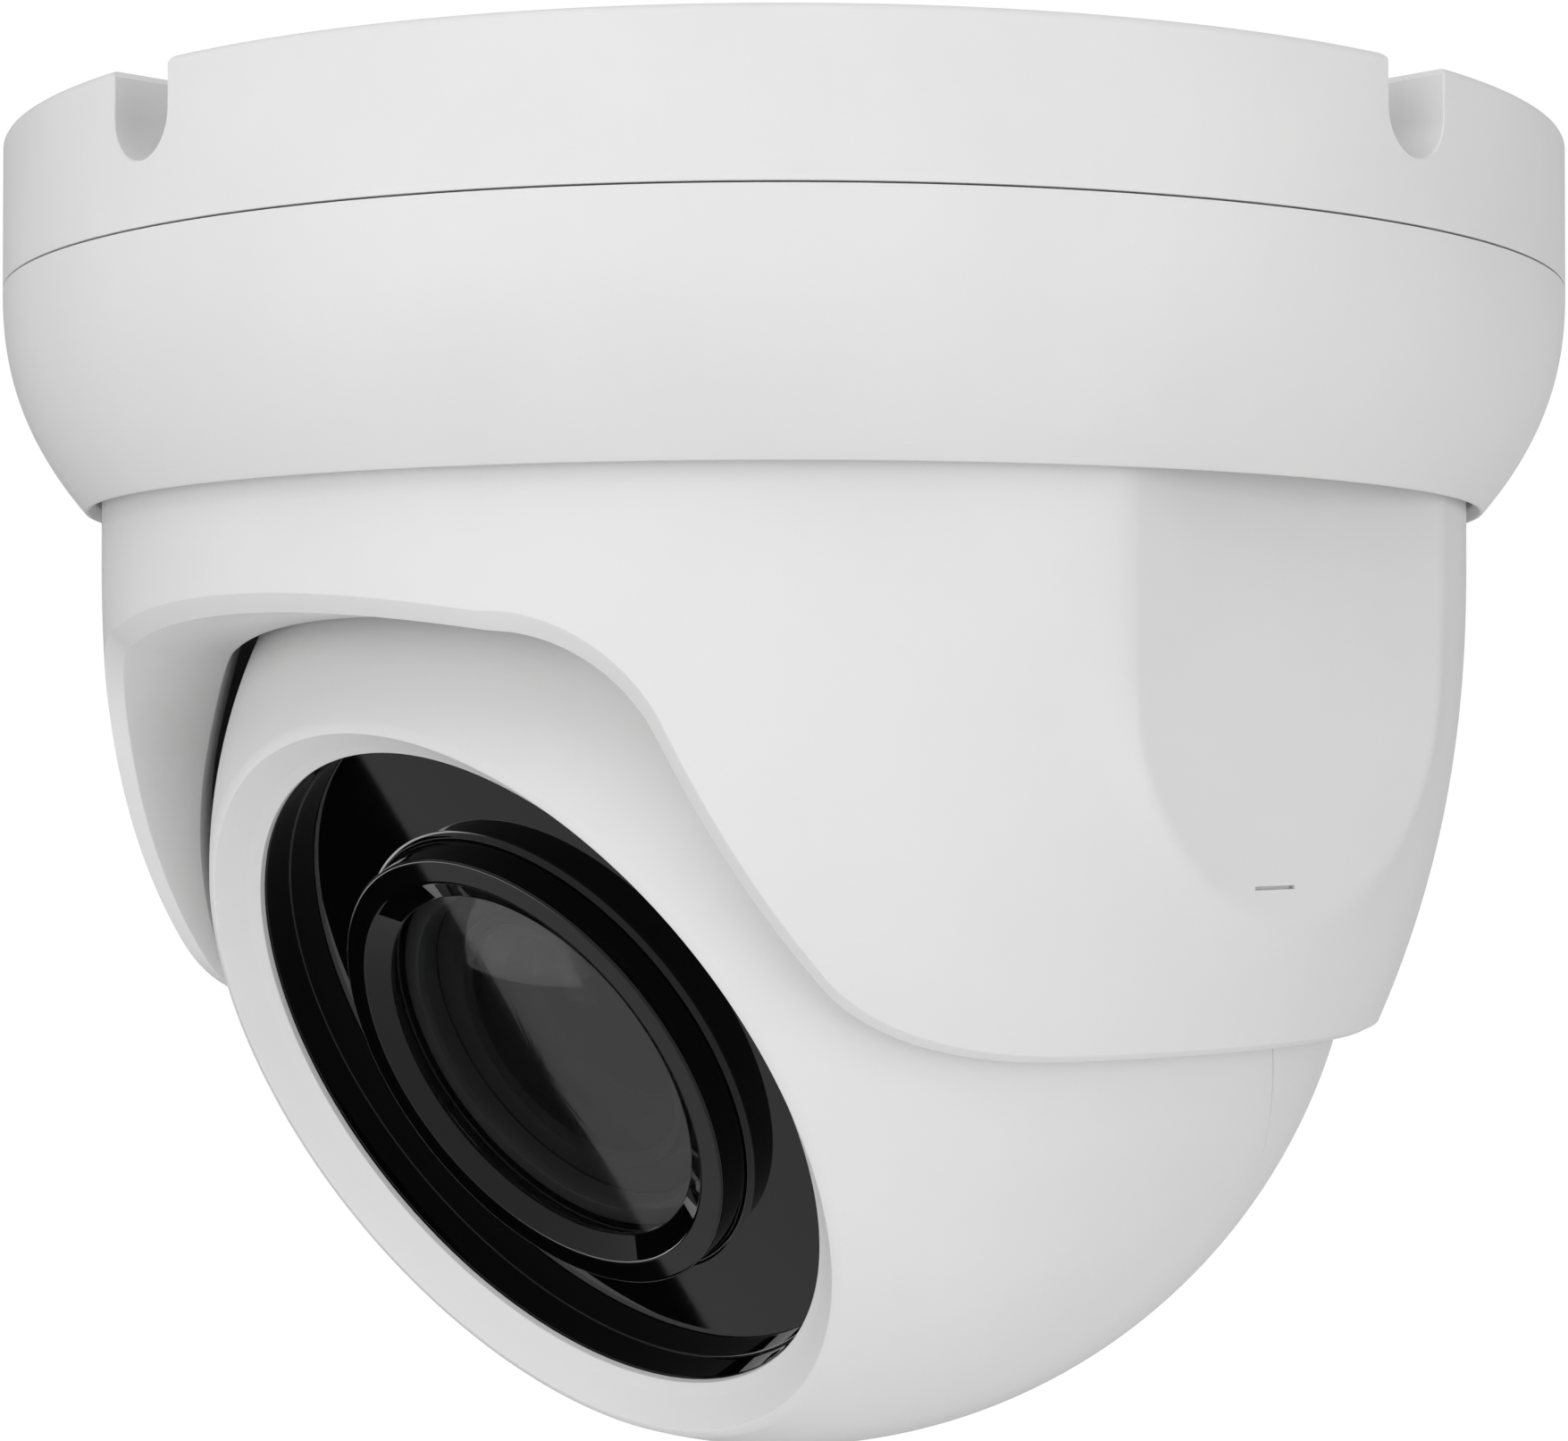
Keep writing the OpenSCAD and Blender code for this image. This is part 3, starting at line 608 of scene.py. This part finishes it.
def arch_outline(grow, foot_z):
    """Right half of the opening's outline from the crown, as (x, z), seen from the front."""
    top = ARCH_TOP + grow
    shoulder = Vector((ARCH_SHOULDER_X + grow, ARCH_SHOULDER_Z + grow))
    foot = Vector((ARCH_FOOT_X + grow, foot_z))
    last = Vector((12, top - 12 * 12 / (2 * ARCH_CROWN_R)))
    arc_in = bend(last, shoulder, foot, 11, 22)
    arc_out = bend(shoulder, foot, Vector((60, foot_z)), 6, ARCH_FOOT_STEPS)
    points = []
    crown_steps = 14
    for i in range(crown_steps):
        x = arc_in[0].x * i / crown_steps
        sag = top - x * x / (2 * ARCH_CROWN_R)
        straight = arc_in[0].y
        points.append(Vector((x, sag if x < 10 else max(sag, straight))))
    points += arc_in
    for i in range(1, 16):
        points.append(arc_in[-1].lerp(arc_out[0], i / 16))
    return points + arc_out


def on_outside(x, z, shrink):
    """Point of the front of the outside surface, seen from the front at x, z."""
    radius = shell_radius(z) - shrink
    return Vector((x, -math.sqrt(radius ** 2 - x * x), z))


def on_cavity(x, z):
    """Point of the sphere that the ball turns in, seen from the front at x, z."""
    drop = z - BALL_CENTRE.z
    return Vector((x, -math.sqrt(CAVITY_R ** 2 - drop ** 2 - x * x), z))


def shell_columns():
    """Lip corners of each column from the middle of the front to the middle of the back."""
    outer = arch_outline(0.5, EDGE_Z)
    inner = arch_outline(-0.5, SHELL_BOTTOM)
    seat = arch_outline(COLLAR_WALL, SHELL_BOTTOM)
    columns = []
    count = len(outer)
    foot_from = count - ARCH_FOOT_STEPS - 1
    for k in range(count):
        fade = max(0.0, (k - foot_from) / ARCH_FOOT_STEPS)
        depth = LIP_DEPTH + (RIM_DEPTH - LIP_DEPTH) * fade
        seat_x = min(seat[k].x, inner[k].x + COLLAR_WALL * (1 - fade))
        seat_z = min(max(seat[k].y, SHELL_BOTTOM + SEAT_RISE * fade), SEAT_TOP)
        columns.append((
            on_outside(outer[k].x, max(outer[k].y, EDGE_Z), 0),
            on_outside(inner[k].x, inner[k].y, depth),
            on_cavity(inner[k].x, inner[k].y),
            on_cavity(seat_x, seat_z),
        ))
    first = math.atan2(columns[-1][0].y, columns[-1][0].x)
    turns = [math.atan2(p.y, p.x) for p in columns[-1]]
    turn = first
    fan = math.radians(9.5)
    pad_half = math.radians(27)
    fine, coarse = 0.35, 0.8
    rim_seat_z = SHELL_BOTTOM + SEAT_RISE
    while turn < math.pi / 2:
        turn = min(math.pi / 2, turn + math.radians(fine if abs(turn) < pad_half else coarse))
        # the lip's corners start apart at the arch's foot and come together on the rim
        spread = max(0.0, 1 - (turn - first) / fan)
        a = [turn + (own - first) * spread for own in turns]
        edge_r = outside_at(a[0], EDGE_Z)
        columns.append((
            at(a[0], edge_r, EDGE_Z),
            at(a[1], edge_r - RIM_DEPTH, SHELL_BOTTOM),
            at(a[2], inside_at(a[2], SHELL_BOTTOM), SHELL_BOTTOM),
            at(a[3], inside_at(a[3], rim_seat_z), rim_seat_z),
        ))
    return columns


def shell_column(corners):
    """Closed section of the shell above one set of lip corners."""
    edge, chamfer, wall, seat = corners
    turn = math.atan2(edge.y, edge.x)
    rows = 96
    points = [
        at(turn, NECK_BORE, SHELL_TOP), at(turn, FLANGE_R - 0.2, SHELL_TOP),
        at(turn, FLANGE_R, SHELL_TOP - 0.2), at(turn, FLANGE_R, FLANGE_BOTTOM + 0.2),
        at(turn, FLANGE_R - 0.2, FLANGE_BOTTOM),
    ]
    for i in range(rows):
        z = FLANGE_BOTTOM + (edge.z - FLANGE_BOTTOM) * i / rows
        points.append(at(turn, outside_at(turn, z), z))
    above = points[-1]
    points += bend(above, edge, chamfer, 0.22, 4)
    points += bend(edge, chamfer, wall, 0.12, 3)
    points += bend(chamfer, wall, seat, 0.1, 2)
    points.append(wall.lerp(seat, 0.5))
    points.append(seat)
    seat_turn = math.atan2(seat.y, seat.x)
    inner_rows = 14
    for i in range(inner_rows + 1):
        t = i / inner_rows
        z = seat.z + (SHELL_TOP - 0.5 - seat.z) * t
        a = seat_turn + (turn - seat_turn) * t
        points.append(at(a, inside_at(a, z), z))
    return points


def swivel_shell():
    half = [shell_column(c) for c in shell_columns()]
    other = [[Vector((-p.x, p.y, p.z)) for p in column] for column in reversed(half[1:-1])]
    columns = half + other
    count = len(half[0])
    points = [p for column in columns for p in column]
    faces = []
    for c in range(len(columns)):
        n = (c + 1) % len(columns)
        for i in range(count):
            j = (i + 1) % count
            faces.append((c * count + i, n * count + i, n * count + j, c * count + j))
    return mesh_from("swivel_shell_body", points, faces, None, 48)


shell = swivel_shell()
pin_bore = rod(
    "bore", PIN_BORE_R, -PIN_BORE_END, PIN_BORE_END, moved(*BALL_CENTRE) @ turned(90, "Y"), 48,
)
slits = []
for side in (-1, 1):
    mesh = bpy.data.meshes.new("slit")
    bm = bmesh.new()
    bmesh.ops.create_cube(bm, size=1)
    bm.to_mesh(mesh)
    bm.free()
    size = Matrix.Diagonal((*(length * MM for length in SLIT_SIZE), 1))
    mesh.transform(moved(side * PAD_X, SLIT_Y, SLIT_Z) @ size)
    slit = bpy.data.objects.new("slit", mesh)
    scene.collection.objects.link(slit)
    slits.append(slit)
combine(shell, [pin_bore] + slits, "DIFFERENCE", 48)
finish_piece(shell, "shell", "white_housing", housing, "swivel_shell")


# ---------------------------------------------------------------- ball

BALL_WALL = 2
BALL_INNER_R = BALL_R - BALL_WALL
PARTING = -0.4
PARTING_HALF_GAP = 0.04
PARTING_BREAK = 0.08
BACK_FLAT = -29
HUB_HOLE = 7.05
MOUTH_R = 24
MOUTH = [(23.48, 25.45, 0.12), (21.95, 24.22, 0.1), (21.3, 23.75, 0.1)]
WINDOW_SEAT_LOW = 17.5
BALL_SCREW_ANGLES = (90, 210, 330)
BALL_SCREW_RING_R = 30
BALL_BOSS_R = 3.2
BALL_WELL_R = 2.4
BALL_THREAD_R = 1.3

front_low = PARTING + PARTING_HALF_GAP
profile = [(BALL_R - PARTING_BREAK, front_low)]
profile += arc(BALL_R, math.degrees(math.asin((front_low + PARTING_BREAK) / BALL_R)),
               math.degrees(math.acos(MOUTH_R / BALL_R)), 96)
profile += MOUTH
profile += [(21.3, 23.4), (21.95, 23.4), (21.95, 21), (23.3, 21), (23.3, WINDOW_SEAT_LOW)]
profile += arc(BALL_INNER_R, math.degrees(math.asin(WINDOW_SEAT_LOW / BALL_INNER_R)),
               math.degrees(math.asin(front_low / BALL_INNER_R)), 24)
ball_front = revolve("ball_front_body", rounded(profile, 3), LENS_FRAME, 384, 32)
finish_piece(ball_front, "ball", "white_housing", housing, "ball_front")

rear_high = PARTING - PARTING_HALF_GAP
profile = [(HUB_HOLE, BACK_FLAT)]
profile += arc(BALL_R, math.degrees(math.asin(BACK_FLAT / BALL_R)),
               math.degrees(math.asin((rear_high - PARTING_BREAK) / BALL_R)), 96)
profile += [(BALL_R - PARTING_BREAK, rear_high)]
profile += arc(BALL_INNER_R, math.degrees(math.asin(rear_high / BALL_INNER_R)),
               math.degrees(math.asin((BACK_FLAT + BALL_WALL) / BALL_INNER_R)), 32)
profile += [(HUB_HOLE, BACK_FLAT + BALL_WALL)]
ball_rear = revolve("ball_rear_body", rounded(profile), LENS_FRAME, 384, 32)
bosses = []
wells = []
for a in BALL_SCREW_ANGLES:
    place = LENS_FRAME @ turned(a) @ moved(BALL_SCREW_RING_R, 0, 0)
    bosses.append(revolve(
        "boss", [(0, -14.2), (BALL_BOSS_R, -12.6), (BALL_BOSS_R, rear_high), (0, rear_high)],
        place, 48,
    ))
    wells.append(rod("well", BALL_WELL_R, -30, -8.5, place, 48))
    wells.append(rod("thread", BALL_THREAD_R, -9, 2, place, 32))
combine(ball_rear, bosses, "UNION", 32)
combine(ball_rear, wells, "DIFFERENCE", 32)
finish_piece(ball_rear, "ball", "white_housing", housing, "ball_rear")


# ---------------------------------------------------------------- window, pane and lens

WINDOW_FACE = 21.3
RIM_FACE = 23.6
window = revolve("window_body", rounded([
    (12.3, 19.3), (23.2, 19.3, 0.3), (23.2, 20.7), (21.9, 20.7), (21.9, 23.3, 0.1),
    (21.28, 23.3, 0.1), (21.28, WINDOW_FACE, 0.12), (14.4, WINDOW_FACE, 0.5),
    (14.38, RIM_FACE, 0.16), (12.85, RIM_FACE, 0.25), (11.5, 22.8, 0.08), (11.5, 22.7),
    (12.3, 22.7),
], 5), LENS_FRAME, 384, 38)
finish_piece(window, "ball", "window_black", window_gloss, "front_window")

pane = revolve("pane_body", rounded([
    (0, 21.45), (12.2, 21.45, 0.15), (12.2, 22.68, 0.2), (0, 22.68),
], 4), LENS_FRAME, 256, 40)
finish_piece(pane, "ball", "clear_pane", clear_pane, "lens_pane")

barrel = revolve("barrel_body", rounded([
    (4.8, 2), (6, 2, 0.2), (6, 11.4), (11.8, 11.4, 0.3), (11.8, 21.35, 0.1), (10.75, 21.35, 0.1),
    (10.6, 20.9), (10.6, 19.8), (8.8, 19.8, 0.1), (8.6, 20.2, 0.1), (8.1, 20.2, 0.1),
    (7.6, 19.2, 0.1), (6.3, 18.6, 0.2), (6.1, 16.4), (5.2, 15.4), (5.2, 12.6), (4.8, 12.6),
], 4), LENS_FRAME, 256, 35)
finish_piece(barrel, "ball", "lens_black", barrel_satin, "lens_barrel")


def dome(r_edge, z_edge, sag, thick, steps=24):
    """Section of a lens that bulges forward, from the axis to its edge and back."""
    radius = (r_edge ** 2 + sag ** 2) / (2 * sag)
    half = math.degrees(math.asin(r_edge / radius))
    front = arc(radius, 90, 90 - half, steps, (0, z_edge + sag - radius))
    back = [(r, z - thick) for r, z in reversed(front)]
    return front + back


front_lens = revolve("front_lens_body", dome(10.55, 19.95, 1.4, 0.9), LENS_FRAME, 256, 40)
finish_piece(front_lens, "ball", "lens_glass", lens_glass, "front_lens")

middle_lens = revolve("middle_lens_body", dome(6.0, 16.3, 1.8, 1.2), LENS_FRAME, 128, 40)
finish_piece(middle_lens, "ball", "lens_glass", lens_glass, "middle_lens")


# ---------------------------------------------------------------- camera

AZIMUTH = math.radians(45.6)
CAMERA_PITCH = math.radians(0.879)
CAMERA_DISTANCE = 209.25
CAMERA_HEIGHT = -36.99

camera_data = bpy.data.cameras.new("camera")
camera_data.lens = 77.98
camera_data.sensor_width = 36
camera_data.clip_start = 0.01
camera_data.clip_end = 20
camera = bpy.data.objects.new("camera", camera_data)
scene.collection.objects.link(camera)
camera.location = Vector((
    math.sin(AZIMUTH) * CAMERA_DISTANCE,
    -math.cos(AZIMUTH) * CAMERA_DISTANCE,
    CAMERA_HEIGHT,
)) * MM
camera.rotation_euler = (math.pi / 2 + CAMERA_PITCH, 0, AZIMUTH)
scene.camera = camera


# ---------------------------------------------------------------- floor and light

def way(azimuth, elevation):
    """Direction from its azimuth, 0 towards -Y and 90 towards +X, and its elevation, in degrees."""
    a, e = math.radians(azimuth), math.radians(elevation)
    return Vector((math.sin(a) * math.cos(e), -math.cos(a) * math.cos(e), math.sin(e)))


def aim(azimuth, elevation, roll):
    """Axes of a panel in that direction: rightwards, upwards and outwards."""
    outwards = way(azimuth, elevation)
    across = way(azimuth + 90, 0)
    upwards = outwards.cross(across)
    if upwards.z < 0:
        upwards = -upwards
    c, s = math.cos(math.radians(roll)), math.sin(math.radians(roll))
    return across * c + upwards * s, upwards * c - across * s, outwards


def studio_panel(name, azimuth, elevation, roll, distance, width, height, brightness):
    """Flat panel facing the object's window, which shows only in reflections."""
    right, up, out = aim(azimuth, elevation, roll)
    centre = LENS_FRAME @ (Vector((0, 0, WINDOW_FACE)) * MM) + out * distance
    corners = [(-1, -1), (1, -1), (1, 1), (-1, 1)]
    points = [(centre + right * x * width / 2 + up * y * height / 2) / MM for x, y in corners]
    panel = mesh_from(name, points, [(0, 1, 2, 3)])
    material, tree, shader = new_material(name)
    tree.nodes.remove(shader)
    glow = tree.nodes.new("ShaderNodeEmission")
    glow.inputs["Color"].default_value = (brightness, brightness, brightness, 1)
    tree.links.new(glow.outputs["Emission"], tree.nodes["Material Output"].inputs["Surface"])
    panel.data.materials.append(material)
    panel.visible_camera = False
    panel.visible_diffuse = False
    panel.visible_shadow = False


def soft_box(azimuth, elevation, power):
    """Round soft light facing the ball."""
    data = bpy.data.lights.new("soft_box", "AREA")
    data.shape = "DISK"
    data.size = LIGHT_SIZE
    data.energy = power
    box = bpy.data.objects.new("soft_box", data)
    scene.collection.objects.link(box)
    towards = way(azimuth, elevation)
    box.location = BALL_CENTRE * MM + towards * LIGHT_DISTANCE
    box.rotation_euler = towards.to_track_quat("Z", "Y").to_euler()
    box.visible_glossy = False
    box.visible_camera = False


# The dark wall of the studio to the left, and a soft window in front of it
studio_panel("dark_wall", -100, -10, -31.5, 1.6, 2.31, 3.2, 0.0)
studio_panel("bright_window", -61, -24.5, -25, 1.4, 0.75, 0.27, 4.0)

LIGHT_DISTANCE = 1.2
LIGHT_SIZE = 1.1
soft_box(20, 50, 5.6)
soft_box(10, 0, 6.0)
soft_box(100, 0, 5.2)
soft_box(-45, 50, 1.7)
soft_box(225, 40, 3.0)

WORLD_BRIGHTNESS = 0.44
FLOOR_ALBEDO = 0.9
FLOOR_GLOW = 0.1
FLOOR_LIFT = 0.5
FLOOR_Z = -420
FLOOR_HALF = 9000


def camera_only(tree, amount):
    """Socket that is the amount where the camera looks straight at it, and 0 for all other rays."""
    path = tree.nodes.new("ShaderNodeLightPath")
    times = tree.nodes.new("ShaderNodeMath")
    times.operation = "MULTIPLY"
    tree.links.new(path.outputs["Is Camera Ray"], times.inputs[0])
    times.inputs[1].default_value = amount
    return times.outputs[0]


floor_material, floor_tree, floor_shader = new_material("floor")
floor_shader.inputs["Base Color"].default_value = (FLOOR_ALBEDO, FLOOR_ALBEDO, FLOOR_ALBEDO, 1)
floor_shader.inputs["Roughness"].default_value = 0.9
floor_shader.inputs["Emission Color"].default_value = (1, 1, 1, 1)
glow = floor_tree.nodes.new("ShaderNodeMath")
glow.operation = "ADD"
floor_tree.links.new(camera_only(floor_tree, FLOOR_LIFT), glow.inputs[0])
glow.inputs[1].default_value = FLOOR_GLOW
floor_tree.links.new(glow.outputs[0], floor_shader.inputs["Emission Strength"])
floor = mesh_from(
    "floor",
    [(x * FLOOR_HALF, y * FLOOR_HALF, FLOOR_Z) for x, y in [(-1, -1), (1, -1), (1, 1), (-1, 1)]],
    [(0, 1, 2, 3)],
)
floor.data.materials.append(floor_material)
floor.visible_glossy = False

world = bpy.data.worlds.new("studio")
scene.world = world
world.use_nodes = True
background = world.node_tree.nodes["Background"]
background.inputs["Color"].default_value = (1, 1, 1, 1)
lift = world.node_tree.nodes.new("ShaderNodeMath")
lift.operation = "ADD"
world.node_tree.links.new(camera_only(world.node_tree, 1 - WORLD_BRIGHTNESS), lift.inputs[0])
lift.inputs[1].default_value = WORLD_BRIGHTNESS
world.node_tree.links.new(lift.outputs[0], background.inputs["Strength"])
scene.view_settings.view_transform = "Standard"
